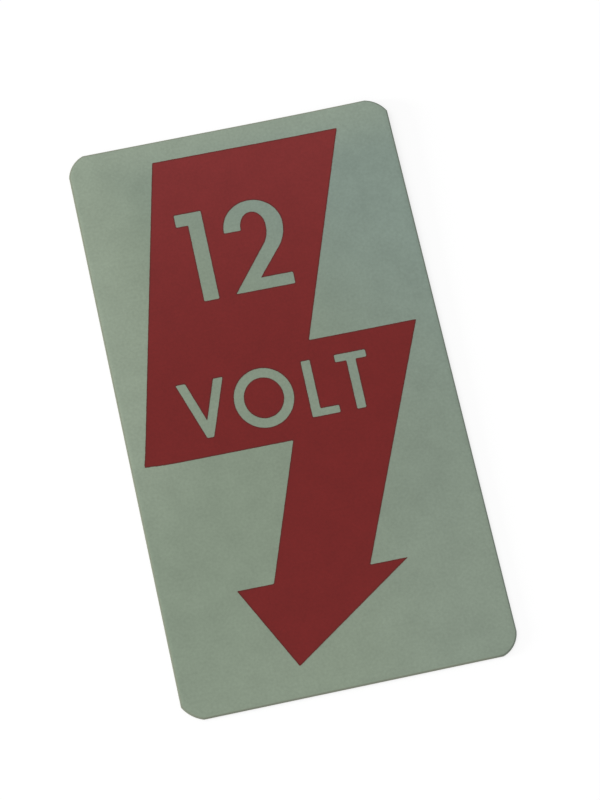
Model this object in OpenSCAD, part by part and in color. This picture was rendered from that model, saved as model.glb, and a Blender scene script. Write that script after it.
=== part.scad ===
// Voltage label: a die-cut foil sticker, printed with a lightning bolt that ends in an arrowhead.
// It lies face up on its adhesive back. The origin is the middle of the back, +X runs to the
// right of the print and +Y to its top end. All sizes are in millimetres.

/* [Sheet] */
// Width of the sheet, from its left side to its right side
sheet_w = 30; // [29:0.5:60]
// Length of the sheet, from its bottom end to its top end
sheet_l = 54; // [52:0.5:90]
// Thickness of the foil together with the adhesive on its back
sheet_t = 0.25; // [0.1:0.01:0.6]

/* [Corners] */
// The cutter met each corner a little differently. A bite is how much less than its radius an
// arc's centre lies in from an edge: the arc meets that edge with a faint kink, or runs into it
// smoothly where the bite is 0.
// Radius of the top left corner
top_left_r = 2.55; // [0.5:0.05:4]
// Bite of the top left arc on the left side
top_left_side_bite = 0.05; // [0:0.01:0.4]
// Bite of the top left arc on the top end
top_left_end_bite = 0.16; // [0:0.01:0.4]
// Radius of the top right corner
top_right_r = 2.8; // [0.5:0.05:4]
// Bite of the top right arc on the right side
top_right_side_bite = 0.3; // [0:0.01:0.4]
// Bite of the top right arc on the top end
top_right_end_bite = 0.08; // [0:0.01:0.4]
// Radius of the bottom right corner
bottom_right_r = 2.4; // [0.5:0.05:4]
// Bite of the bottom right arc on the right side
bottom_right_side_bite = 0.02; // [0:0.01:0.4]
// Bite of the bottom right arc on the bottom end
bottom_right_end_bite = 0.12; // [0:0.01:0.4]
// Radius of the bottom left corner
bottom_left_r = 3.15; // [0.5:0.05:4]
// Bite of the bottom left arc on the left side
bottom_left_side_bite = 0.39; // [0:0.01:0.4]
// Bite of the bottom left arc on the bottom end
bottom_left_end_bite = 0.17; // [0:0.01:0.4]

/* [Lifted side] */
// Height that the top right corner lifts off the surface
lift_h = 0.3; // [0.1:0.05:1.5]
// Where the bend starts on the top end, measured from the right side
lift_from_side = 14; // [8:0.5:16]
// Where the bend runs out on the line of the right side, measured from the top end
lift_from_top = 62; // [40:1:90]

/* [Print] */
// Thickness of the ink
ink_t = 0.02; // [0.01:0.005:0.05]
// Turn of the print against the cut, in degrees, anticlockwise about the middle of the sheet
print_turn = -0.4; // [-2:0.1:2]
// Gap from the top end of the sheet to the top edge of the bolt
bolt_top_gap = 2.1; // [0.5:0.1:4]
// Width of the bolt's top edge
bolt_top_w = 17.35; // [10:0.05:20]
// Left end of the bolt's top edge, measured left of the sheet's centre line
bolt_top_left = 7.45; // [4:0.05:10]
// Drop from the top edge to the upper edge of the lower arm
arm_drop = 19.8; // [12:0.1:24]
// Where the upper block meets the lower arm, measured right of the centre line
arm_start = 3.05; // [1:0.05:6]
// Right tip of the lower arm, measured right of the centre line
arm_tip = 12.95; // [8:0.05:13.5]
// Drop from the top edge to the foot of the upper block
block_drop = 28.8; // [25:0.1:34]
// Left tip of the upper block's foot, measured left of the centre line
block_tip = 13.75; // [11:0.05:14]
// Width of the upper block's foot, up to the shaft
block_foot_w = 13.45; // [9:0.05:15]

/* [Arrowhead] */
// Drop from the bolt's top edge to the shoulders of the arrowhead
shoulder_drop = 41.4; // [36:0.1:44]
// Width of the shaft where it meets the arrowhead
shaft_w = 8.65; // [4:0.05:10]
// Left side of the shaft there, measured left of the centre line
shaft_left = 4.7; // [3:0.1:6]
// Reach of the arrowhead's barb past the left side of the shaft
left_barb = 3.3; // [1:0.1:5]
// Reach of the arrowhead's barb past the right side of the shaft
right_barb = 3.4; // [1:0.1:5]
// Length of the arrowhead from its shoulders to its point
head_l = 7.7; // [4:0.05:8.5]
// The arrowhead's point, measured left of the centre line
point_left = 4; // [0:0.1:6]

/* [Hidden] */

foil_colour = [0.53, 0.58, 0.51];
ink_colour = [0.46, 0.17, 0.16];

// The bend line is straight. Past it the sheet rolls up round a level cylinder that touches the
// flat part along that line, so the foil stays a developable surface, as a real one does.
bend_turn = atan2(lift_from_side, lift_from_top);
bend_reach = lift_from_side * cos(bend_turn);
bend_r = (bend_reach * bend_reach + lift_h * lift_h) / (2 * lift_h);
bend_angle = 2 * asin(bend_reach / bend_r);
bend_fn = 3600;

// Lengths that only have to reach past the sheet or above it
past = 2 * (sheet_w + sheet_l);
above = sheet_t + ink_t + 4 * lift_h;

// Heights of the bolt's edges
top_y = sheet_l / 2 - bolt_top_gap;
arm_y = top_y - arm_drop;
block_y = top_y - block_drop;
shoulder_y = top_y - shoulder_drop;
point_y = shoulder_y - head_l;

// A layer of the sheet between two heights over its back: flat up to the bend line, rolled past it
module layer(low, high) {
    translate([sheet_w / 2, sheet_l / 2, 0])
    rotate([0, 0, bend_turn])
    translate([-bend_reach, 0, 0]) {
        translate([-past, -past, low])
        cube([past, 2 * past, high - low]);
        translate([0, 0, bend_r])
        rotate([90, 0, 0])
        rotate([0, 0, -90])
        rotate_extrude(angle = bend_angle, $fn = bend_fn)
        translate([bend_r - high, -past])
        square([high - low, 2 * past]);
    }
}

// What the cutter takes off a corner, for a corner at the origin with the sheet on its -X, -Y side,
// with its bites on the edges along Y and along X
module corner_waste(r, bite_y, bite_x) {
    set_in = [r - bite_y, r - bite_x];
    translate(-set_in)
    difference() {
        square(2 * set_in);
        circle(r = r, $fn = 180);
    }
}

module sheet_outline() {
    difference() {
        square([sheet_w, sheet_l], center = true);
        translate([sheet_w / 2, sheet_l / 2])
        corner_waste(top_right_r, top_right_side_bite, top_right_end_bite);
        translate([-sheet_w / 2, sheet_l / 2])
        rotate(90)
        corner_waste(top_left_r, top_left_end_bite, top_left_side_bite);
        translate([-sheet_w / 2, -sheet_l / 2])
        rotate(180)
        corner_waste(bottom_left_r, bottom_left_side_bite, bottom_left_end_bite);
        translate([sheet_w / 2, -sheet_l / 2])
        rotate(270)
        corner_waste(bottom_right_r, bottom_right_end_bite, bottom_right_side_bite);
    }
}

// The bolt's outline, clockwise from its top left corner
module bolt_outline() {
    rotate(print_turn)
    polygon([
        [-bolt_top_left, top_y],
        [bolt_top_w - bolt_top_left, top_y],
        [arm_start, arm_y],
        [arm_tip, arm_y],
        [shaft_w - shaft_left, shoulder_y],
        [shaft_w - shaft_left + right_barb, shoulder_y],
        [-point_left, point_y],
        [-shaft_left - left_barb, shoulder_y],
        [-shaft_left, shoulder_y],
        [block_foot_w - block_tip, block_y],
        [-block_tip, block_y]
    ]);
}

// An upright block with a flat outline, from well below the sheet to well above it
module die() {
    translate([0, 0, -above])
    linear_extrude(2 * above)
    children();
}

module foil_label() {
    color(foil_colour)
    intersection() {
        layer(0, sheet_t);
        die() sheet_outline();
    }
}

// The ink is printed before the sheet is cut, so the die trims both
module arrow_print() {
    color(ink_colour)
    intersection() {
        layer(sheet_t, sheet_t + ink_t);
        die() bolt_outline();
        die() sheet_outline();
    }
}

foil_label();
arrow_print();
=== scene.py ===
"""Voltage sticker: a die-cut satin foil sheet with a dark red printed lightning-bolt arrow.

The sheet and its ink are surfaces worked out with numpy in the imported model's frame. They lie face
up, with +X to the right of the print, +Y to its top end and +Z out of its face. All lengths are in
metres, and MM turns millimetres into them.
"""
import math

import bpy
import numpy as np
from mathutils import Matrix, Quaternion, Vector
from mathutils.geometry import delaunay_2d_cdt


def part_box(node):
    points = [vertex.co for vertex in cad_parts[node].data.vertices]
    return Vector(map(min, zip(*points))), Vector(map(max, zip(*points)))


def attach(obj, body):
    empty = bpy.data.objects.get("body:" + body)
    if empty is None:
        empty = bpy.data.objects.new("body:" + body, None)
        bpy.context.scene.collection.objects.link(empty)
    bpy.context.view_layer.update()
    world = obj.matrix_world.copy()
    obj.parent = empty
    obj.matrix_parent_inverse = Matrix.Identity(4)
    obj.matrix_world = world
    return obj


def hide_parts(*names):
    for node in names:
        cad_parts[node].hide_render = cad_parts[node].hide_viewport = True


bl_info = {
    "name": "Voltage Sticker",
    "version": (1, 0, 0),
    "blender": (4, 5, 0),
    "location": "View3D > Sidebar > Sticker",
    "description": "Cuts a foil sticker, prints a lightning-bolt arrow on it and sets a plain studio stage",
    "category": "Object",
}

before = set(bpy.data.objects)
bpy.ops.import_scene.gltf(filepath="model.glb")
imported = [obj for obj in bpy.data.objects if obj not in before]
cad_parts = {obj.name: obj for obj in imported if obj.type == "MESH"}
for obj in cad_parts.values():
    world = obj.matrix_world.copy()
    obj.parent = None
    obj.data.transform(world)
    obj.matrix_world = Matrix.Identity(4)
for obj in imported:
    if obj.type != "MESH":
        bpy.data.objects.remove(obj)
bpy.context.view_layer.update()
SHEET_LOW, SHEET_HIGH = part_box("foil_label")

MM = 0.001
BODY = "root"
EDGE_BAND = "edge_band"

# Material slots of the sheet
FACE, CUT_EDGE, BACK = range(3)
# Points along each corner's arc, and spacing of points along the whole outline
CORNER_POINTS = 22
OUTLINE_STEP = 0.5 * MM
# Rings of points on the face and on the back, points over the round of an edge, and a height
# that is too small to matter
RINGS = 48
ROUND_POINTS = 5
HAIR = 0.001 * MM
# Points along the two's inner and outer bowl, and round each ring of the O
INNER_BOWL_POINTS = 50
OUTER_BOWL_POINTS = 60
O_POINTS = 120
# Waves per millimetre along the stencil's edge, and how many times more it wanders at the worn tip
WAVES_PER_MM = (0.55, 1.3, 2.9)
WORN_WANDER = 2
# Shares of the band's width and of the fill's spacing that points inside the ink keep from its
# edges, and the share of the band's width within which a point belongs to an edge
BAND_CLEAR = 0.85
FILL_CLEAR = 0.4
AT_EDGE = 0.1
# Millimetres within which two points are one, and batches that keep the test of triangles small
SNAP_MM = 1e-6
BATCHES = 8
# Directions of fades over the sticker
RIGHT, LEFT, UP, DOWN = (1, 0, 0), (-1, 0, 0), (0, 1, 0), (0, -1, 0)
TO_TOP_RIGHT = (1, 1, 0)
TO_BOTTOM_RIGHT = (0.4, -1, 0)


def length(label, text, value_mm):
    """A length property whose default is given in millimetres."""
    return bpy.props.FloatProperty(
        name=label, description=text, default=value_mm * MM, unit="LENGTH", subtype="DISTANCE", precision=5
    )


def angle(label, text, degrees):
    """An angle property whose default is given in degrees."""
    return bpy.props.FloatProperty(
        name=label, description=text, default=math.radians(degrees), unit="ROTATION", subtype="ANGLE"
    )


def colour(label, text, red, green, blue):
    """A colour property from a screen's 0 to 255 values, turned into linear light by sRGB's curve."""
    screen = np.array((red, green, blue)) / 255
    linear = np.where(screen > 0.04045, ((screen + 0.055) / 1.055) ** 2.4, screen / 12.92)
    return bpy.props.FloatVectorProperty(
        name=label, description=text, default=linear.tolist(), subtype="COLOR", min=0, max=1
    )


def share(label, text, value):
    """A plain number from 0 to 1."""
    return bpy.props.FloatProperty(
        name=label, description=text, default=value, min=0, max=1, subtype="FACTOR"
    )


def watts(label, text, value):
    """A lamp's power."""
    return bpy.props.FloatProperty(name=label, description=text, default=value, unit="POWER")


def spot(label, text, x, y, z):
    """A place in metres."""
    return bpy.props.FloatVectorProperty(
        name=label, description=text, default=(x, y, z), unit="LENGTH", subtype="XYZ_LENGTH"
    )


def corner_sizes(label, radius, side_bite, end_bite):
    """A corner's radius and the two bites by which its arc's centre lies closer to side and end."""
    return bpy.props.FloatVectorProperty(
        name=label,
        description="Radius, bite on the side and bite on the end",
        default=(radius * MM, side_bite * MM, end_bite * MM),
        unit="LENGTH",
        subtype="XYZ_LENGTH",
        precision=5,
    )


class SheetSizes(bpy.types.PropertyGroup):
    """Sizes of the foil sheet."""

    width: length("Width", "Left side to right side", (SHEET_HIGH.x - SHEET_LOW.x) / MM)
    length: length("Length", "Bottom end to top end", (SHEET_HIGH.y - SHEET_LOW.y) / MM)
    thickness: length("Thickness", "Foil together with its adhesive", 0.25)
    top_left: corner_sizes("Top left corner", 2.55, 0.05, 0.16)
    top_right: corner_sizes("Top right corner", 2.8, 0.3, 0.08)
    bottom_right: corner_sizes("Bottom right corner", 2.4, 0.02, 0.12)
    bottom_left: corner_sizes("Bottom left corner", 3.15, 0.39, 0.17)
    lift_h: length("Lift", "Height that the top right corner lifts", 0.3)
    lift_from_side: length("Lift from side", "Bend line on the top end, from the right side", 14)
    lift_from_top: length("Lift from top", "Bend line on the right side's line, from the top end", 62)
    rim_r: length("Rim round", "Round that the die leaves on the face's edge", 0.14)
    back_rim_r: length("Back rim round", "Round on the back's edge", 0.02)


class PrintSizes(bpy.types.PropertyGroup):
    """Sizes of the printed bolt, measured from the sheet's top end and centre line."""

    ink_t: length("Ink", "Thickness of the ink", 0.02)
    turn: angle("Turn", "Turn of the print against the cut, anticlockwise", -0.4)
    top_gap: length("Top gap", "From the sheet's top end to the bolt", 2.1)
    top_w: length("Top width", "Width of the bolt's top edge", 17.35)
    top_left: length("Top left", "Bolt's top left corner, left of the centre line", 7.45)
    arm_drop: length("Arm drop", "Top edge to the lower arm's upper edge", 19.8)
    arm_start: length("Arm start", "Where block and arm meet, right of the centre line", 3.05)
    arm_tip: length("Arm tip", "Right tip of the lower arm, right of the centre line", 12.95)
    block_drop: length("Block drop", "Top edge to the foot of the upper block", 28.8)
    block_tip: length("Block tip", "Left tip of the block's foot, left of the centre line", 13.75)
    block_foot_w: length("Block foot", "Width of the block's foot", 13.45)
    shoulder_drop: length("Shoulder drop", "Top edge to the arrowhead's shoulders", 41.4)
    shaft_w: length("Shaft width", "Width of the shaft at the arrowhead", 8.65)
    shaft_left: length("Shaft left", "Left side of the shaft, left of the centre line", 4.7)
    left_barb: length("Left barb", "Reach of the left barb past the shaft", 3.3)
    right_barb: length("Right barb", "Reach of the right barb past the shaft", 3.4)
    head_l: length("Head length", "Shoulders to the point", 7.7)
    point_left: length("Point", "The arrow's point, left of the centre line", 4.0)
    edge_step: length("Edge step", "Spacing of points along the ink's edges", 0.1)
    edge_wander: length("Edge wander", "How far the stencil's edge wanders", 0.01)
    edge_band: length("Edge band", "Width of the darker band along the ink's edges", 0.16)
    worn_h: length("Worn corner", "How far the foot's edge is worn up at the block's tip", 0.13)
    worn_reach: length("Worn reach", "Reach of that wear from the tip", 1.5)
    fill_step: length("Fill step", "Spacing of points inside the ink", 0.8)


class MarkSizes(bpy.types.PropertyGroup):
    """Sizes of the plain figures and letters that the ink leaves open."""

    figure_base: length("Figure base", "Height of the one's foot", 10.64)
    figure_h: length("Figure height", "Height of the figures", 8.74)
    one_stroke: length("One's stroke", "Width of the one's stem", 1.38)
    one_bar: length("One's bar", "Height of the flag", 1.2)
    one_left: length("One", "Left side of the one's stem", -5.42)
    one_flag: length("One's flag", "Reach of the flag past the stem", 1.12)
    two_base: length("Two's base", "How far the two's foot lies over the one's", 0.09)
    two_over: length("Two's overshoot", "How far the bowl passes the one's top", 0.14)
    two_side: length("Two's side", "Width of the bowl's stroke at its sides", 1.54)
    two_bar: length("Two's bar", "Width of the foot and of the bowl's top", 1.14)
    two_centre: length("Two", "Middle of the two's bowl", 0.35)
    two_bowl_w: length("Two's bowl width", "Half the bowl's width, outside", 2.71)
    two_bowl_h: length("Two's bowl height", "Bowl's middle to its top, outside", 2.66)
    two_sag: length("Two's sag", "How much taller the bowl's lower half is than its upper half", 0.6)
    two_end_drop: length("Two's end", "How far its end lies below the bowl's middle", 0.12)
    two_foot_left: length("Two's foot left", "Left tip of the foot", -2.45)
    two_foot_right: length("Two's foot right", "Right end of the foot", 3.0)
    two_heel: length("Two's heel", "Where the slope meets the top of the foot", 0.04)
    word_base: length("Word base", "Height of the letters' baseline", -2.155)
    word_h: length("Word height", "Height of the letters", 5.39)
    word_stroke: length("Word stroke", "Width of a letter's upright stroke", 0.83)
    word_bar: length("Word bar", "Width of a letter's level stroke", 0.7)
    v_left: length("V", "Left side of the V", -9.57)
    v_w: length("V width", "Width of the V", 4.29)
    v_foot_w: length("V foot", "Width of the V's foot", 0.6)
    v_notch_h: length("V notch", "Height of the V's inner corner over the baseline", 1.6)
    v_arm_w: length("V arm", "Width of the V's arm along its top", 0.86)
    o_centre: length("O", "Middle of the O", -2.035)
    o_w: length("O width", "Half the O's width", 2.69)
    o_over: length("O overshoot", "How far the O passes the other letters", 0.13)
    o_stroke: length("O stroke", "Width of the O's stroke", 0.89)
    l_left: length("L", "Left side of the L", 1.87)
    l_w: length("L width", "Width of the L", 2.53)
    t_left: length("T", "Left end of the T's bar", 4.92)
    t_w: length("T width", "Width of the T's bar", 2.87)


class Finishes(bpy.types.PropertyGroup):
    """Colours and gloss of the foil, its edge, its back and the ink."""

    foil_warm: colour("Foil, warm", "Foil on its left", 130, 143, 126)
    foil_neutral: colour("Foil, neutral", "Foil on its right", 129, 142, 128)
    # Painted reflection: this cooler tint towards the lifted top right corner stands in for how that corner
    # reflects the light
    foil_cool_reflection: colour("Foil, cool", "Foil towards the top right corner", 127, 142, 132)
    # Painted highlight: this light colour and the three shares below lighten the foil along its left side,
    # its top end and towards its bottom end
    foil_highlight: colour("Foil, light", "Foil where it is brightest", 146, 158, 141)
    foil_mottle: share("Foil mottle", "How much the clouds and the grain change the foil's brightness", 0.2)
    foil_left_highlight: share("Foil, left side", "How bright the foil is along its left side", 0.65)
    foil_top_highlight: share("Foil, top end", "How bright the foil is along its top end", 0.75)
    foil_bottom_highlight: share("Foil, bottom end", "How bright the foil is towards its bottom end", 0.22)
    foil_metal: share("Foil metal", "How metallic the foil is", 0.8)
    foil_rough: share("Foil roughness", "Roughness of the satin face", 0.5)
    # Painted shade: the cut edge's two colours are lit and shaded copies, the shaded one painted on the
    # right side and partly on the bottom end, which face away from the lamps
    edge_lit: colour("Cut edge, light", "Cut edge on the left side and the top end", 127, 134, 116)
    edge_shaded: colour("Cut edge, dark", "Cut edge on the right side", 109, 120, 107)
    edge_bottom_shade: share("Cut edge, bottom end", "How far the bottom end is towards the dark one", 0.25)
    edge_metal: share("Cut edge metal", "How metallic the cut edge is", 0.3)
    edge_rough: share("Cut edge roughness", "Roughness of the cut edge", 0.6)
    adhesive: colour("Adhesive", "Colour of the adhesive on the back", 192, 190, 178)
    adhesive_dark: colour("Adhesive, dark", "Darker clouds of the adhesive", 182, 180, 168)
    adhesive_rough: share("Adhesive roughness", "Roughness of the adhesive", 0.55)
    # Painted highlight: the lighter ink colour is the top of the print with a haze of light painted in, not
    # a thinner film; the darker one is the ink lower down
    ink_highlit_top: colour("Ink, light", "Thinner film of ink", 121, 42, 42)
    ink_dark: colour("Ink, dark", "Thicker film of ink", 108, 29, 28)
    ink_mottle: share("Ink mottle", "How much the clouds and the grain change the ink's brightness", 0.2)
    ink_edge: colour("Ink, edge", "Thicker line of ink along its edges", 70, 34, 30)
    ink_edge_share: share("Ink edge share", "How much of that colour shows at the very edge", 0.7)
    ink_rough: share("Ink roughness", "Roughness of the ink", 0.5)
    ink_gloss: share("Ink gloss", "Specular level of the ink", 0.15)


class StageSettings(bpy.types.PropertyGroup):
    """Camera, lamps and floor."""

    azimuth: angle("Azimuth", "Camera's turn round the sticker", -15.15)
    elevation: angle("Elevation", "Camera's height over the floor", 71.17)
    roll: angle("Roll", "Camera's turn about its own axis", 2.91)
    distance: length("Distance", "Camera to the point that it looks at", 268.3)
    aim_x: length("Aim X", "Point that the camera looks at", 1.075)
    aim_y: length("Aim Y", "Point that the camera looks at", -0.323)
    lens: bpy.props.FloatProperty(
        name="Lens", description="Focal length for a 36 mm frame", default=135, unit="CAMERA"
    )
    key_power: watts("High lamp", "Power of the high lamp", 3.5)
    key_place: spot("High lamp's place", "Where the high lamp stands", -0.7, 0.37, 0.8)
    key_size: length("High lamp's size", "Side of the high lamp", 900)
    side_power: watts("Side lamp", "Power of the low side lamp", 5.6)
    side_place: spot("Side lamp's place", "Where the low side lamp stands", -0.9, 0.08, 0.135)
    side_size: length("Side lamp's size", "Side of the low side lamp", 120)
    ambient: bpy.props.FloatProperty(name="Ambient", description="Strength of the even light", default=0.8)
    floor_half: length("Floor", "Half the floor's side", 3000)
    floor_gap: length("Floor gap", "How far the floor lies under the sticker's back", 0.004)
    floor_lit: share("Floor, lit", "Share of the light on the floor that it gives back", 0.3)
    floor_glow: share("Floor glow", "White that the camera sees on the floor beside its lit colour", 0.69)


def sized(name):
    """One of the property groups kept on the scene."""
    return getattr(bpy.context.scene, "sticker_" + name)


def closed_line(corners, step):
    """Points along a closed line of straight sides, each side cut into equal parts no longer than step."""
    ends = np.roll(corners, -1, axis=0)
    parts = np.maximum(1, np.ceil(np.linalg.norm(ends - corners, axis=1) / step)).astype(int)
    side = np.repeat(np.arange(len(corners)), parts)
    first = np.repeat(np.cumsum(parts) - parts, parts)
    along = ((np.arange(parts.sum()) - first) / parts[side])[:, None]
    return corners[side] * (1 - along) + ends[side] * along


def arc(centre, radii, start, end, count):
    """Points on an ellipse's arc: centre plus radii times cosine and sine of an even run of angles."""
    turn = np.radians(np.linspace(start, end, count))
    return np.array(centre) + np.array(radii) * np.column_stack((np.cos(turn), np.sin(turn)))


def side_normals(line):
    """Unit normals of a closed line, to the right of its direction, from each point's two neighbours."""
    run = np.roll(line, -1, axis=0) - np.roll(line, 1, axis=0)
    run /= np.linalg.norm(run, axis=1)[:, None]
    return np.column_stack((run[:, 1], -run[:, 0]))


def lifted(xy, height, sheet):
    """Height of a point of the sheet that lies height above its back before the bend.

    Past the bend line the sheet rolls round a level cylinder of radius R over that line, so the
    point at distance s past the line stands at R minus the root of (R - height) squared less s
    squared. Short of the line s is nought, and the formula gives the height itself.
    """
    line = math.atan2(sheet.lift_from_side, sheet.lift_from_top)
    reach = sheet.lift_from_side * math.cos(line)
    radius = (reach**2 + sheet.lift_h**2) / (2 * sheet.lift_h)
    corner = np.array((sheet.width, sheet.length)) / 2
    past = (xy - corner) @ np.array((math.cos(line), math.sin(line))) + reach
    past = np.maximum(past, 0)
    return radius - np.sqrt((radius - height) ** 2 - past**2)


def sheet_outline(sheet):
    """The sheet's outline, anticlockwise: a rectangle whose corners are arcs.

    Each arc's centre lies its radius less a bite in from the side and from the end, so the arc
    meets either at the small angle whose cosine is that distance over the radius.
    """
    half = np.array((sheet.width, sheet.length)) / 2
    corners = (sheet.top_right, sheet.top_left, sheet.bottom_left, sheet.bottom_right)
    quadrants = np.array(((1, 1), (-1, 1), (-1, -1), (1, -1)))
    arcs = []
    for k, (r, side_bite, end_bite) in enumerate(corners):
        inset = r - np.array((side_bite, end_bite))
        kinks = np.degrees(np.arccos(inset / r))
        first, last = kinks if k % 2 == 0 else kinks[::-1]
        centre = quadrants[k] * (half - inset)
        arcs.append(arc(centre, (r, r), 90 * k + first, 90 * (k + 1) - last, CORNER_POINTS))
    return closed_line(np.vstack(arcs), OUTLINE_STEP)


def new_piece(name, points, faces, smooth_under=math.radians(35)):
    """A mesh object at the origin from arrays of points and faces, smooth except at sharp edges."""
    mesh = bpy.data.meshes.new(name)
    mesh.from_pydata(points, [], faces)
    mesh.validate()
    mesh.shade_smooth()
    mesh.set_sharp_from_angle(angle=smooth_under)
    piece = bpy.data.objects.new(name, mesh)
    bpy.context.scene.collection.objects.link(piece)
    return piece


def sheet_rows(sheet):
    """Share, inset and height of each row of the sheet, from mid-back to mid-face.

    The rows of the back and of the face are rings of evenly growing and shrinking share. Between
    them the rows run round the back's edge and round the face's, each a quarter of a circle.
    """
    rings = np.linspace(0, 1, RINGS + 1)[1:]
    quarter = np.radians(np.linspace(0, 90, ROUND_POINTS))
    low_turn, high_turn = quarter[1:], quarter[:-1]
    r, b, t = sheet.rim_r, sheet.back_rim_r, sheet.thickness
    shares = np.concatenate((rings, np.ones(len(low_turn) + len(high_turn)), rings[::-1]))
    insets = np.concatenate(
        (np.full(RINGS, b), b * (1 - np.sin(low_turn)), r * (1 - np.cos(high_turn)), np.full(RINGS, r))
    )
    heights = np.concatenate(
        (np.zeros(RINGS), b * (1 - np.cos(low_turn)), t - r + r * np.sin(high_turn), np.full(RINGS, t))
    )
    return shares, insets, heights


def sheet_surface(sheet):
    """Grid of the whole sheet, back and face, closed at two poles, and the slot of each face.

    One parameter runs round the outline. The other runs from the middle of the back out to its
    edge, up the cut edge and in again to the middle of the face. Each row is the outline moved
    inwards by the row's inset and scaled by the row's share, at the row's height, and then lifted.
    """
    outline = sheet_outline(sheet)
    shares, insets, heights = sheet_rows(sheet)
    rows = shares[:, None, None] * (outline[None] - insets[:, None, None] * side_normals(outline)[None])
    tall = np.broadcast_to(heights[:, None], rows.shape[:2])
    xy = np.vstack((rows.reshape(-1, 2), np.zeros((2, 2))))
    high = np.concatenate((tall.ravel(), (0, sheet.thickness)))
    points = np.column_stack((xy, lifted(xy, high, sheet)))
    across, around = rows.shape[:2]
    here = np.arange(around)
    after = np.roll(here, -1)
    base = (np.arange(across - 1) * around)[:, None]
    quads = np.stack((base + here, base + after, base + around + after, base + around + here), axis=-1)
    last = (across - 1) * around
    back_pole = np.full(around, across * around)
    back_fan = np.column_stack((after, here, back_pole))
    face_fan = np.column_stack((last + here, last + after, back_pole + 1))
    faces = quads.reshape(-1, 4).tolist() + back_fan.tolist() + face_fan.tolist()
    from_row = heights[:-1]
    on_back, on_edge = from_row < sheet.back_rim_r, from_row < sheet.thickness - HAIR
    slots = np.select([on_back, on_edge], [BACK, CUT_EDGE], FACE)
    slots = np.concatenate((np.repeat(slots, around), np.full(around, BACK), np.full(around, FACE)))
    return points, faces, slots


def bolt_corners(sheet, size):
    """The bolt's corners, clockwise from its top left one."""
    top = sheet.length / 2 - size.top_gap
    arm = top - size.arm_drop
    block = top - size.block_drop
    shoulder = top - size.shoulder_drop
    shaft_right = size.shaft_w - size.shaft_left
    return np.array((
        (-size.top_left, top),
        (size.top_w - size.top_left, top),
        (size.arm_start, arm),
        (size.arm_tip, arm),
        (shaft_right, shoulder),
        (shaft_right + size.right_barb, shoulder),
        (-size.point_left, shoulder - size.head_l),
        (-size.shaft_left - size.left_barb, shoulder),
        (-size.shaft_left, shoulder),
        (size.block_foot_w - size.block_tip, block),
        (-size.block_tip, block),
    ))


def one_corners(m):
    """A one: an upright stem with a square flag to its left."""
    base, top = m.figure_base, m.figure_base + m.figure_h
    right = m.one_left + m.one_stroke
    return np.array((
        (m.one_left, base), (right, base), (right, top), (m.one_left - m.one_flag, top),
        (m.one_left - m.one_flag, top - m.one_bar), (m.one_left, top - m.one_bar),
    ))


def tangent_angle(centre, radii, point):
    """Angle in degrees at which a line from the point touches the ellipse, on the ellipse's right side.

    In the frame where the ellipse is a unit circle, it is the point's bearing plus the angle whose
    cosine is one over its distance.
    """
    far = (np.array(point) - np.array(centre)) / np.array(radii)
    return math.degrees(math.atan2(far[1], far[0]) + math.acos(1 / np.linalg.norm(far)))


def bowl(centre, radii, low_radii, first, last, count):
    """Points along an ellipse whose lower half has its own height."""
    points = arc(centre, radii, first, last, count)
    below = np.minimum(points[:, 1] - centre[1], 0)
    points[:, 1] += below * (low_radii[1] / radii[1] - 1)
    return points


def two_corners(m):
    """A two: a bowl, a slope that leaves it as a tangent on both sides, and a level foot.

    The bowl's lower half is taller than its upper one, so the slope leaves it further down.
    """
    base = m.figure_base + m.two_base
    bar = base + m.two_bar
    centre = (m.two_centre, m.figure_base + m.figure_h + m.two_over - m.two_bowl_h)
    outer = (m.two_bowl_w, m.two_bowl_h)
    inner = (m.two_bowl_w - m.two_side, m.two_bowl_h - m.two_bar)
    low_outer, low_inner = (outer[0], outer[1] + m.two_sag), (inner[0], inner[1] + m.two_sag)
    end = centre[1] - m.two_end_drop
    heel, tip = (m.two_heel, bar), (m.two_foot_left, base)
    out_turn = tangent_angle(centre, low_outer, heel)
    in_turn = tangent_angle(centre, low_inner, tip)
    return np.vstack((
        (centre[0] - inner[0], end),
        bowl(centre, inner, low_inner, 180, in_turn, INNER_BOWL_POINTS),
        tip, (m.two_foot_right, base), (m.two_foot_right, bar), heel,
        bowl(centre, outer, low_outer, out_turn, 180, OUTER_BOWL_POINTS),
        (centre[0] - outer[0], end),
    ))


def v_corners(m):
    """A V: two slanting arms on a narrow flat foot."""
    base, top, mid = m.word_base, m.word_base + m.word_h, m.v_left + m.v_w / 2
    return np.array((
        (m.v_left, top), (mid - m.v_foot_w / 2, base),
        (mid + m.v_foot_w / 2, base), (m.v_left + m.v_w, top),
        (m.v_left + m.v_w - m.v_arm_w, top), (mid, base + m.v_notch_h), (m.v_left + m.v_arm_w, top),
    ))


def o_rings(m):
    """An O: two ellipses on one centre, a stroke apart, the inner one clockwise."""
    centre = (m.o_centre, m.word_base + m.word_h / 2)
    outer = np.array((m.o_w, m.word_h / 2 + m.o_over))
    last = 360 - 360 / O_POINTS
    return [arc(centre, outer, 0, last, O_POINTS), arc(centre, outer - m.o_stroke, last, 0, O_POINTS)]


def l_corners(m):
    """An L: an upright stem on a level foot."""
    base, top = m.word_base, m.word_base + m.word_h
    stem, bar = m.l_left + m.word_stroke, base + m.word_bar
    right = m.l_left + m.l_w
    return np.array((
        (m.l_left, base), (right, base), (right, bar), (stem, bar), (stem, top), (m.l_left, top),
    ))


def t_corners(m):
    """A T: a level bar on an upright stem."""
    base, top = m.word_base, m.word_base + m.word_h
    bar, mid = top - m.word_bar, m.t_left + m.t_w / 2
    left, right = mid - m.word_stroke / 2, mid + m.word_stroke / 2
    return np.array((
        (left, base), (right, base), (right, bar), (m.t_left + m.t_w, bar),
        (m.t_left + m.t_w, top), (m.t_left, top), (m.t_left, bar), (left, bar),
    ))


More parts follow.
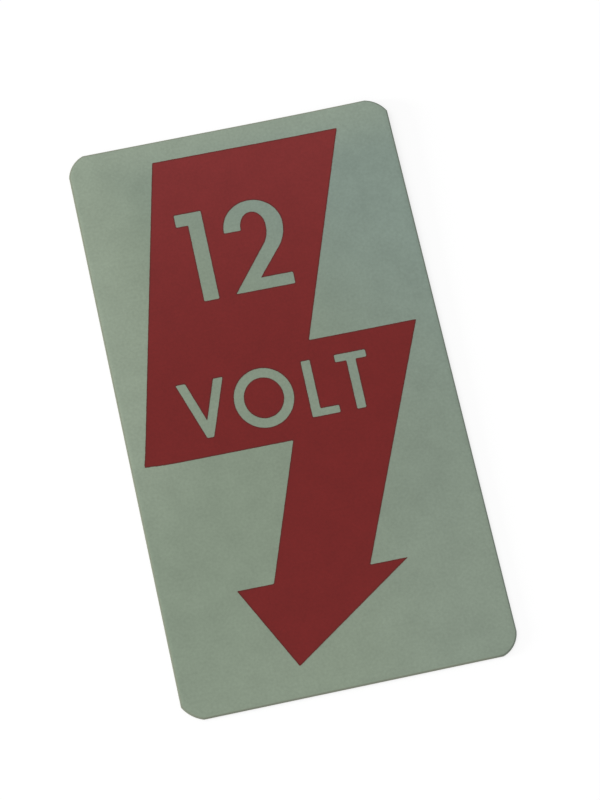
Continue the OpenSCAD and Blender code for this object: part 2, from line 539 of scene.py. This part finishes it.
def stencil_edge(corners, size, worn_at):
    """A closed edge as a screen prints it, from an outline's corners.

    The outline is cut into short steps, each point is moved to the mean of itself and its two
    neighbours, which rounds the corners, and then moved along its normal by the mean of three
    sines of its place along the line. Near the worn tip it wanders more, and it is raised by a
    bell curve of its distance from the tip.
    """
    line = closed_line(corners, size.edge_step)
    line = sum(np.roll(line, k, axis=0) for k in (-1, 0, 1)) / 3
    turn = np.linspace(0, 2 * math.pi, len(line), endpoint=False)
    waves = np.round(len(line) * size.edge_step / MM * np.array(WAVES_PER_MM))
    phase = corners.sum() / MM
    wander = sum(np.sin(w * turn + phase * (k + 1)) for k, w in enumerate(waves)) / 3
    bell = np.exp(-((np.linalg.norm(line - worn_at, axis=1) / size.worn_reach) ** 2))
    line = line + side_normals(line) * (size.edge_wander * wander * (1 + WORN_WANDER * bell))[:, None]
    line[:, 1] += size.worn_h * bell
    return line


def inside(points, edges_a, edges_b):
    """True where a point lies inside an odd number of closed edges, by a ray to its right."""
    x, y = points[:, :1], points[:, 1:]
    (ax, ay), (bx, by) = edges_a.T, edges_b.T
    crosses = (ay > y) != (by > y)
    rise = np.where(by == ay, 1, by - ay)
    return (crosses & (x < ax + (y - ay) * (bx - ax) / rise)).sum(axis=1) % 2 == 1


def clear_of(points, line, gap):
    """True where a point lies no closer than gap to any point of a line."""
    across = points[:, :1] - line[:, 0]
    along = points[:, 1:] - line[:, 1]
    return (across**2 + along**2).min(axis=1) >= gap**2


def joined(loops):
    """The points of all closed edges in one array, and for each the number of the next on its edge."""
    counts = np.array([len(loop) for loop in loops])
    starts = np.repeat(np.cumsum(counts) - counts, counts)
    here = np.arange(counts.sum())
    return np.vstack(loops), starts + (here - starts + 1) % np.repeat(counts, counts)


def fill_points(loops, rim, after, size):
    """Points inside the ink: its edges moved in by the band's width, and an even lattice."""
    band = np.vstack([loop + size.edge_band * side_normals(loop) for loop in loops])
    band = band[clear_of(band, rim, BAND_CLEAR * size.edge_band)]
    span_x = np.arange(rim[:, 0].min(), rim[:, 0].max(), size.fill_step)
    span_y = np.arange(rim[:, 1].min(), rim[:, 1].max(), size.fill_step)
    lattice = np.stack(np.meshgrid(span_x, span_y), axis=-1).reshape(-1, 2)
    lattice = lattice[clear_of(lattice, rim, FILL_CLEAR * size.fill_step)]
    fill = np.vstack((band, lattice))
    return fill[inside(fill, rim, rim[after])]


def fill_triangles(rim, after, fill):
    """The ink's flat points and its triangles, anticlockwise.

    Edges and fill are joined by Delaunay triangles that keep every edge whole, and those whose
    middle lies inside an odd number of edges are kept.
    """
    flat = np.vstack((rim, fill)) / MM
    edges = np.column_stack((np.arange(len(rim)), after)).tolist()
    cut = delaunay_2d_cdt([Vector(p) for p in flat], edges, [], 0, SNAP_MM)
    flat = np.array([tuple(p) for p in cut[0]]) * MM
    tris = np.array(cut[2])
    parts = np.array_split(flat[tris].mean(axis=1), BATCHES)
    tris = tris[np.concatenate([inside(part, rim, rim[after]) for part in parts])]
    (ax, ay), (bx, by), (cx, cy) = flat[tris].transpose(1, 2, 0)
    clockwise = (bx - ax) * (cy - ay) < (by - ay) * (cx - ax)
    tris[clockwise] = tris[clockwise][:, ::-1]
    return flat, tris


def ink_surface(sheet, size, marks):
    """The ink as a thin closed layer with open marks, and which of its points lie on its edges.

    Every edge runs with the ink on its right. The triangles between the edges are set at the ink's
    top and, turned over, at the foil's face, and each side that belongs to one triangle alone
    grows a wall between the two.
    """
    outlines = [bolt_corners(sheet, size), one_corners(marks), two_corners(marks), v_corners(marks)]
    outlines += [*o_rings(marks), l_corners(marks), t_corners(marks)]
    loops = [stencil_edge(outline, size, outlines[0][-1]) for outline in outlines]
    rim, after = joined(loops)
    flat, tris = fill_triangles(rim, after, fill_points(loops, rim, after, size))
    number = len(flat)
    sides = np.vstack((tris[:, (0, 1)], tris[:, (1, 2)], tris[:, (2, 0)]))
    alone = ~np.isin(sides[:, 0] * number + sides[:, 1], sides[:, 1] * number + sides[:, 0])
    a, b = sides[alone].T
    cosine, sine = math.cos(size.turn), math.sin(size.turn)
    xy = flat @ np.array(((cosine, sine), (-sine, cosine)))
    low, high = lifted(xy, sheet.thickness, sheet), lifted(xy, sheet.thickness + size.ink_t, sheet)
    points = np.vstack((np.column_stack((xy, high)), np.column_stack((xy, low))))
    walls = np.column_stack((a + number, b + number, b, a))
    at_edge = np.tile(~clear_of(flat, rim, AT_EDGE * size.edge_band), 2)
    return points, tris.tolist() + (tris[:, ::-1] + number).tolist() + walls.tolist(), at_edge


def add_socket(group, name, kind, way, default=None):
    """One named socket on a node group."""
    socket = group.interface.new_socket(name=name, in_out=way, socket_type=kind)
    if default is not None:
        socket.default_value = default


def cloudy_grain():
    """Node group of soft clouds with fine grain in them, shared by the foil and the ink.

    The clouds are one noise and the grain another, about ten times finer. Clouds is their
    weighted sum as a mask from 0 to 1, and Grain is the fine noise alone, for roughness and bump.
    """
    name = "cloudy_grain"
    if name in bpy.data.node_groups:
        return bpy.data.node_groups[name]
    group = bpy.data.node_groups.new(name, "ShaderNodeTree")
    add_socket(group, "Vector", "NodeSocketVector", "INPUT")
    add_socket(group, "Cloud Scale", "NodeSocketFloat", "INPUT", 120.0)
    add_socket(group, "Grain Scale", "NodeSocketFloat", "INPUT", 4000.0)
    add_socket(group, "Grain Share", "NodeSocketFloat", "INPUT", 0.3)
    add_socket(group, "Clouds", "NodeSocketFloat", "OUTPUT")
    add_socket(group, "Grain", "NodeSocketFloat", "OUTPUT")
    nodes, links = group.nodes, group.links
    given = nodes.new("NodeGroupInput")
    cloud = nodes.new("ShaderNodeTexNoise")
    cloud.inputs["Detail"].default_value = 3
    cloud.inputs["Roughness"].default_value = 0.55
    grain = nodes.new("ShaderNodeTexNoise")
    grain.inputs["Detail"].default_value = 2
    mix = nodes.new("ShaderNodeMix")
    mix.data_type = "FLOAT"
    out = nodes.new("NodeGroupOutput")
    links.new(given.outputs["Vector"], cloud.inputs["Vector"])
    links.new(given.outputs["Vector"], grain.inputs["Vector"])
    links.new(given.outputs["Cloud Scale"], cloud.inputs["Scale"])
    links.new(given.outputs["Grain Scale"], grain.inputs["Scale"])
    links.new(given.outputs["Grain Share"], mix.inputs["Factor"])
    links.new(cloud.outputs["Fac"], mix.inputs["A"])
    links.new(grain.outputs["Fac"], mix.inputs["B"])
    links.new(mix.outputs["Result"], out.inputs["Clouds"])
    links.new(grain.outputs["Fac"], out.inputs["Grain"])
    return group


def fade_along():
    """Node group of a smooth fade from 0 to 1 between two distances along a direction."""
    name = "fade_along"
    if name in bpy.data.node_groups:
        return bpy.data.node_groups[name]
    group = bpy.data.node_groups.new(name, "ShaderNodeTree")
    add_socket(group, "Vector", "NodeSocketVector", "INPUT")
    add_socket(group, "Direction", "NodeSocketVector", "INPUT", (0.0, 1.0, 0.0))
    add_socket(group, "Start", "NodeSocketFloat", "INPUT", 0.0)
    add_socket(group, "End", "NodeSocketFloat", "INPUT", 1.0)
    add_socket(group, "Fade", "NodeSocketFloat", "OUTPUT")
    nodes, links = group.nodes, group.links
    given = nodes.new("NodeGroupInput")
    reach = nodes.new("ShaderNodeVectorMath")
    reach.operation = "DOT_PRODUCT"
    ramp = nodes.new("ShaderNodeMapRange")
    ramp.interpolation_type = "SMOOTHSTEP"
    out = nodes.new("NodeGroupOutput")
    links.new(given.outputs["Vector"], reach.inputs[0])
    links.new(given.outputs["Direction"], reach.inputs[1])
    links.new(reach.outputs["Value"], ramp.inputs["Value"])
    links.new(given.outputs["Start"], ramp.inputs["From Min"])
    links.new(given.outputs["End"], ramp.inputs["From Max"])
    links.new(ramp.outputs["Result"], out.inputs["Fade"])
    return group


def new_material(name):
    """An empty node material with a Principled shader, and its tree and shader."""
    material = bpy.data.materials.new(name)
    material.use_nodes = True
    tree = material.node_tree
    tree.nodes.clear()
    shader = tree.nodes.new("ShaderNodeBsdfPrincipled")
    out = tree.nodes.new("ShaderNodeOutputMaterial")
    tree.links.new(shader.outputs["BSDF"], out.inputs["Surface"])
    return material, tree, shader


def fade(tree, direction, start_mm, end_mm):
    """Output of a fade on Object coordinates between two distances along a direction."""
    where = tree.nodes.new("ShaderNodeTexCoord")
    node = tree.nodes.new("ShaderNodeGroup")
    node.node_tree = fade_along()
    node.inputs["Direction"].default_value = Vector(direction).normalized()
    node.inputs["Start"].default_value = start_mm * MM
    node.inputs["End"].default_value = end_mm * MM
    tree.links.new(where.outputs["Object"], node.inputs["Vector"])
    return node.outputs["Fade"]


def combine(tree, operation, first, second):
    """Output of one Math node on two outputs or numbers."""
    node = tree.nodes.new("ShaderNodeMath")
    node.operation = operation
    for socket, given in zip(node.inputs, (first, second)):
        if isinstance(given, (int, float)):
            socket.default_value = given
        else:
            tree.links.new(given, socket)
    return node.outputs["Value"]


def blend(tree, factor, first, second):
    """Output of one colour Mix node on a mask and two colours or colour outputs."""
    node = tree.nodes.new("ShaderNodeMix")
    node.data_type = "RGBA"
    tree.links.new(factor, node.inputs["Factor"])
    for socket, given in ((node.inputs["A"], first), (node.inputs["B"], second)):
        if isinstance(given, bpy.types.NodeSocket):
            tree.links.new(given, socket)
        else:
            socket.default_value = (*given, 1)
    return node.outputs["Result"]


def mottled(tree, shader, rough, spread, cloud_scale, grain_scale, grain_share, bump_mm):
    """Wires grain on Object coordinates into a shader's roughness and normal, and gives its clouds."""
    where = tree.nodes.new("ShaderNodeTexCoord")
    effect = tree.nodes.new("ShaderNodeGroup")
    effect.node_tree = cloudy_grain()
    effect.inputs["Cloud Scale"].default_value = cloud_scale
    effect.inputs["Grain Scale"].default_value = grain_scale
    effect.inputs["Grain Share"].default_value = grain_share
    tree.links.new(where.outputs["Object"], effect.inputs["Vector"])
    sharpen = tree.nodes.new("ShaderNodeMapRange")
    sharpen.inputs["From Min"].default_value = 0.3
    sharpen.inputs["From Max"].default_value = 0.7
    tree.links.new(effect.outputs["Clouds"], sharpen.inputs["Value"])
    gloss = tree.nodes.new("ShaderNodeMapRange")
    gloss.inputs["To Min"].default_value = rough - spread
    gloss.inputs["To Max"].default_value = rough + spread
    tree.links.new(effect.outputs["Grain"], gloss.inputs["Value"])
    tree.links.new(gloss.outputs["Result"], shader.inputs["Roughness"])
    bump = tree.nodes.new("ShaderNodeBump")
    bump.inputs["Distance"].default_value = bump_mm * MM
    bump.inputs["Strength"].default_value = 1
    tree.links.new(effect.outputs["Grain"], bump.inputs["Height"])
    tree.links.new(bump.outputs["Normal"], shader.inputs["Normal"])
    return sharpen.outputs["Result"]


def dappled(tree, tint, clouds, depth):
    """Output of a colour times a gain that follows the clouds and spans depth, evenly about one."""
    gain = combine(tree, "ADD", combine(tree, "MULTIPLY", clouds, depth), 1 - depth / 2)
    node = tree.nodes.new("ShaderNodeVectorMath")
    node.operation = "SCALE"
    tree.links.new(tint, node.inputs[0])
    tree.links.new(gain, node.inputs["Scale"])
    return node.outputs["Vector"]


def foil_material(finish):
    """Satin silver-grey foil, with a cooler tint painted towards the lifted top right corner as a painted
    reflection.

    A painted highlight makes it brighter along its left side and its top end, and a little towards its
    bottom end.
    """
    material, tree, shader = new_material("satin_foil")
    shader.inputs["Metallic"].default_value = finish.foil_metal
    clouds = mottled(
        tree, shader, finish.foil_rough, spread=0.04,
        cloud_scale=400, grain_scale=4000, grain_share=0.6, bump_mm=0.0015,
    )
    to_neutral = fade(tree, RIGHT, start_mm=-2, end_mm=12)
    # Painted reflection: the base turns cooler towards the lifted top right corner
    to_cool_reflection = fade(tree, TO_TOP_RIGHT, start_mm=2, end_mm=22)
    base = blend(tree, to_neutral, finish.foil_warm, finish.foil_neutral)
    base = blend(tree, to_cool_reflection, base, finish.foil_cool_reflection)
    # Painted highlight: lightens the foil along its left side, along its top end and a little towards its
    # bottom end
    on_left = fade(tree, LEFT, start_mm=7, end_mm=14.5)
    above_foot = fade(tree, UP, start_mm=-14, end_mm=2)
    on_top = fade(tree, UP, start_mm=21, end_mm=27.5)
    to_left = fade(tree, LEFT, start_mm=-40, end_mm=4)
    at_bottom = fade(tree, TO_BOTTOM_RIGHT, start_mm=12, end_mm=22)
    left = combine(tree, "MULTIPLY", combine(tree, "MULTIPLY", on_left, above_foot), finish.foil_left_highlight)
    top = combine(tree, "MULTIPLY", combine(tree, "MULTIPLY", on_top, to_left), finish.foil_top_highlight)
    bottom = combine(tree, "MULTIPLY", at_bottom, finish.foil_bottom_highlight)
    painted_highlight = combine(tree, "MAXIMUM", combine(tree, "MAXIMUM", left, top), bottom)
    tint = blend(tree, painted_highlight, base, finish.foil_highlight)
    tree.links.new(dappled(tree, tint, clouds, finish.foil_mottle), shader.inputs["Base Color"])
    return material


def edge_material(finish):
    """The cut edge of foil and adhesive, duller and darker than the face, partly its own dull cut and
    partly painted shade, and darkened further on its right and bottom by painted shade.
    """
    material, tree, shader = new_material("cut_edge")
    shader.inputs["Metallic"].default_value = finish.edge_metal
    mottled(
        tree, shader, finish.edge_rough, spread=0.05,
        cloud_scale=800, grain_scale=6000, grain_share=0.5, bump_mm=0.004,
    )
    # Painted shade: darkens the cut edge on its right side and, less, on its bottom end
    right = fade(tree, RIGHT, start_mm=11, end_mm=14)
    bottom = combine(tree, "MULTIPLY", fade(tree, DOWN, start_mm=23, end_mm=26), finish.edge_bottom_shade)
    dark = combine(tree, "MAXIMUM", right, bottom)
    tree.links.new(blend(tree, dark, finish.edge_lit, finish.edge_shaded), shader.inputs["Base Color"])
    return material


def adhesive_material(finish):
    """Dull adhesive on the back, slightly cloudy and uneven in its gloss."""
    material, tree, shader = new_material("adhesive")
    clouds = mottled(
        tree, shader, finish.adhesive_rough, spread=0.12,
        cloud_scale=250, grain_scale=3000, grain_share=0.4, bump_mm=0.006,
    )
    tint = blend(tree, clouds, finish.adhesive_dark, finish.adhesive)
    tree.links.new(tint, shader.inputs["Base Color"])
    return material


def ink_material(finish):
    """Dark red screen ink, lighter towards the top by a painted highlight, and browner where it pools."""
    material, tree, shader = new_material("red_ink")
    shader.inputs["Specular IOR Level"].default_value = finish.ink_gloss
    clouds = mottled(
        tree, shader, finish.ink_rough, spread=0.05,
        cloud_scale=400, grain_scale=4500, grain_share=0.6, bump_mm=0.002,
    )
    # Painted highlight: the ink lightens towards the top of the print
    to_highlit_top = fade(tree, UP, start_mm=-2, end_mm=36)
    film = dappled(tree, blend(tree, to_highlit_top, finish.ink_dark, finish.ink_highlit_top), clouds, finish.ink_mottle)
    band = tree.nodes.new("ShaderNodeAttribute")
    band.attribute_name = EDGE_BAND
    pooled = combine(tree, "MULTIPLY", band.outputs["Fac"], finish.ink_edge_share)
    tree.links.new(blend(tree, pooled, film, finish.ink_edge), shader.inputs["Base Color"])
    return material


class STICKER_OT_cut_foil(bpy.types.Operator):
    """Cut the foil sheet, with its rounded corners and its lifted side."""

    bl_idname = "sticker.cut_foil"
    bl_label = "Cut Foil"

    def execute(self, context):
        finish = sized("finishes")
        points, faces, slots = sheet_surface(sized("sheet"))
        piece = new_piece("foil_sheet", points, faces)
        for material in (foil_material(finish), edge_material(finish), adhesive_material(finish)):
            piece.data.materials.append(material)
        piece.data.polygons.foreach_set("material_index", slots.astype(np.int32))
        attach(piece, BODY)
        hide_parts("foil_label")
        return {"FINISHED"}


class STICKER_OT_print_bolt(bpy.types.Operator):
    """Print the bolt in ink, with its plain rating marks left open."""

    bl_idname = "sticker.print_bolt"
    bl_label = "Print Bolt"

    def execute(self, context):
        points, faces, at_edge = ink_surface(sized("sheet"), sized("print"), sized("marks"))
        piece = new_piece("printed_bolt", points, faces)
        band = piece.data.attributes.new(EDGE_BAND, "FLOAT", "POINT")
        band.data.foreach_set("value", at_edge.astype(np.float32))
        piece.data.materials.append(ink_material(sized("finishes")))
        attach(piece, BODY)
        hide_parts("arrow_print")
        return {"FINISHED"}


def background_rays(tree):
    """Output that is one on camera, glossy and transmission rays, and nought on all others."""
    path = tree.nodes.new("ShaderNodeLightPath")
    mirrored = combine(tree, "MAXIMUM", path.outputs["Is Glossy Ray"], path.outputs["Is Transmission Ray"])
    return combine(tree, "MAXIMUM", path.outputs["Is Camera Ray"], mirrored)


def seen_white(tree, lit, strength):
    """Adds white that only camera, glossy and transmission rays see to a lit shader."""
    glow = tree.nodes.new("ShaderNodeEmission")
    both = tree.nodes.new("ShaderNodeAddShader")
    tree.links.new(combine(tree, "MULTIPLY", background_rays(tree), strength), glow.inputs["Strength"])
    tree.links.new(lit.outputs[0], both.inputs[0])
    tree.links.new(glow.outputs["Emission"], both.inputs[1])
    return both


def floor_material(share_lit, glow):
    """White floor that keeps the sticker's shadow."""
    material = bpy.data.materials.new("white_floor")
    material.use_nodes = True
    tree = material.node_tree
    tree.nodes.clear()
    lit = tree.nodes.new("ShaderNodeBsdfDiffuse")
    lit.inputs["Color"].default_value = (share_lit, share_lit, share_lit, 1)
    out = tree.nodes.new("ShaderNodeOutputMaterial")
    tree.links.new(seen_white(tree, lit, glow).outputs[0], out.inputs["Surface"])
    return material


def make_floor(stage):
    """A wide level square just under the sticker's back."""
    half, level = stage.floor_half, -stage.floor_gap
    points = [(-half, -half, level), (half, -half, level), (half, half, level), (-half, half, level)]
    floor = new_piece("floor", points, [(0, 1, 2, 3)])
    floor.data.materials.append(floor_material(stage.floor_lit, stage.floor_glow))


def make_world(stage):
    """Even white light, and past the floor the level that the floor shows far from the lamps."""
    world = bpy.data.worlds.new("studio")
    bpy.context.scene.world = world
    world.use_nodes = True
    tree = world.node_tree
    tree.nodes.clear()
    lit = tree.nodes.new("ShaderNodeBackground")
    lit.inputs["Color"].default_value = (1, 1, 1, 1)
    lit.inputs["Strength"].default_value = stage.ambient
    seen = tree.nodes.new("ShaderNodeBackground")
    seen.inputs["Color"].default_value = (1, 1, 1, 1)
    seen.inputs["Strength"].default_value = stage.floor_lit * stage.ambient + stage.floor_glow
    choose = tree.nodes.new("ShaderNodeMixShader")
    out = tree.nodes.new("ShaderNodeOutputWorld")
    tree.links.new(background_rays(tree), choose.inputs["Fac"])
    tree.links.new(lit.outputs["Background"], choose.inputs[1])
    tree.links.new(seen.outputs["Background"], choose.inputs[2])
    tree.links.new(choose.outputs["Shader"], out.inputs["Surface"])


def make_lamp(name, place, size, power, mirrored=True):
    """A square soft lamp that faces the sticker, and that its gloss mirrors or leaves out."""
    light = bpy.data.lights.new(name, "AREA")
    light.shape = "SQUARE"
    light.size = size
    light.energy = power
    lamp = bpy.data.objects.new(name, light)
    lamp.visible_glossy = mirrored
    lamp.location = place
    lamp.rotation_mode = "QUATERNION"
    lamp.rotation_quaternion = (-Vector(place)).to_track_quat("-Z", "Y")
    bpy.context.scene.collection.objects.link(lamp)


def make_camera(stage, height):
    """The camera on a ray from its aim, by azimuth, elevation and distance, rolled about its axis."""
    back = Vector((
        math.sin(stage.azimuth) * math.cos(stage.elevation),
        -math.cos(stage.azimuth) * math.cos(stage.elevation),
        math.sin(stage.elevation),
    ))
    data = bpy.data.cameras.new("camera")
    data.sensor_width = 36
    data.lens = stage.lens
    data.clip_start = 0.01
    camera = bpy.data.objects.new("camera", data)
    camera.location = Vector((stage.aim_x, stage.aim_y, height)) + back * stage.distance
    camera.rotation_mode = "QUATERNION"
    camera.rotation_quaternion = (-back).to_track_quat("-Z", "Y") @ Quaternion((0, 0, 1), stage.roll)
    bpy.context.scene.collection.objects.link(camera)
    bpy.context.scene.camera = camera


class STICKER_OT_set_stage(bpy.types.Operator):
    """Set the floor, the even light, the two soft lamps and the camera."""

    bl_idname = "sticker.set_stage"
    bl_label = "Set Stage"

    def execute(self, context):
        stage = sized("stage")
        make_floor(stage)
        make_world(stage)
        make_lamp("high_lamp", stage.key_place, stage.key_size, stage.key_power)
        make_lamp("side_lamp", stage.side_place, stage.side_size, stage.side_power, mirrored=False)
        make_camera(stage, sized("sheet").thickness)
        context.scene.view_settings.view_transform = "Standard"
        return {"FINISHED"}


class STICKER_PT_tools(bpy.types.Panel):
    """Sidebar panel with the sticker's steps and sizes."""

    bl_idname = "STICKER_PT_tools"
    bl_label = "Voltage Sticker"
    bl_space_type = "VIEW_3D"
    bl_region_type = "UI"
    bl_category = "Sticker"

    def draw(self, context):
        for operator in OPERATORS:
            self.layout.operator(operator.bl_idname)
        for name in GROUPS:
            box = self.layout.box()
            box.label(text=name.capitalize())
            for prop in GROUPS[name].__annotations__:
                box.prop(sized(name), prop)


GROUPS = {
    "sheet": SheetSizes,
    "print": PrintSizes,
    "marks": MarkSizes,
    "finishes": Finishes,
    "stage": StageSettings,
}
OPERATORS = (STICKER_OT_cut_foil, STICKER_OT_print_bolt, STICKER_OT_set_stage)


def register():
    for name, group in GROUPS.items():
        bpy.utils.register_class(group)
        setattr(bpy.types.Scene, "sticker_" + name, bpy.props.PointerProperty(type=group))
    for cls in (*OPERATORS, STICKER_PT_tools):
        bpy.utils.register_class(cls)


def unregister():
    for cls in (STICKER_PT_tools, *reversed(OPERATORS)):
        bpy.utils.unregister_class(cls)
    for name, group in GROUPS.items():
        delattr(bpy.types.Scene, "sticker_" + name)
        bpy.utils.unregister_class(group)


def main():
    register()
    bpy.ops.sticker.cut_foil()
    bpy.ops.sticker.print_bolt()
    bpy.ops.sticker.set_stage()


if __name__ == "__main__":
    main()
